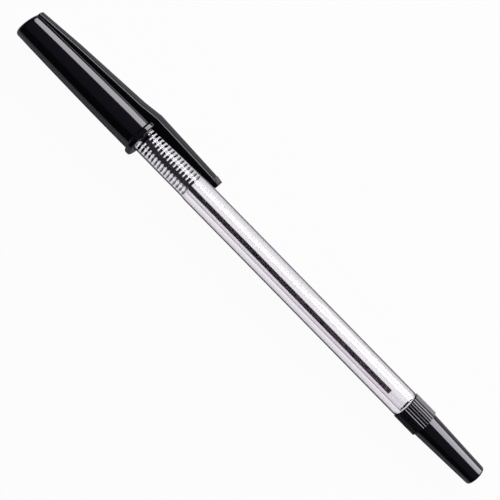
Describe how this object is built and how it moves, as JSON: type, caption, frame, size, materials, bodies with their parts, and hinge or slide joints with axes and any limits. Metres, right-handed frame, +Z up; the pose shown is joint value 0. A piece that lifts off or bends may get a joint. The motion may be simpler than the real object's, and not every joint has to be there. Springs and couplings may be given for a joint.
{
  "type": "stick ballpoint pen",
  "caption": "Stick ballpoint pen with a clear round barrel, ringed grip, slim refill, black pull-off cap with pocket clip, and a fluted end plug with a tapered tail.",
  "frame": {"origin": "on the pen's axis, at the middle of the barrel's plain shank", "axes": "X along the pen, cap and point towards -X, tail towards +X; +Z up as the pen lies on a table"},
  "size_m": [0.1521, 0.0122, 0.011],
  "materials": {
    "black_plastic": "moulded, glossy",
    "clear_plastic": "moulded, clear and glossy",
    "dark_plastic": "moulded, satin",
    "point_metal": "turned nickel silver",
    "ball_metal": "polished carbide",
    "tube_plastic": "extruded, clear",
    "ink": "dark oil ink"
  },
  "bodies": {
    "pen": {"barrel": "clear_plastic", "end_plug": "black_plastic", "tip_holder": "dark_plastic", "point": "point_metal", "ink_tube": "tube_plastic", "ink": "ink"},
    "cap": {"cap": "black_plastic"},
    "ball": {"ball": "ball_metal"}
  },
  "joints": [
    {"name": "cap_pull", "type": "slide", "parent": "pen", "child": "cap", "axis": [-1, 0, 0], "range_m": [0, 0.06]},
    {"name": "ball_roll", "type": "hinge", "parent": "pen", "child": "ball", "pos_m": [-0.08635, 0, 0], "axis": [0, 1, 0], "continuous": true}
  ]
}
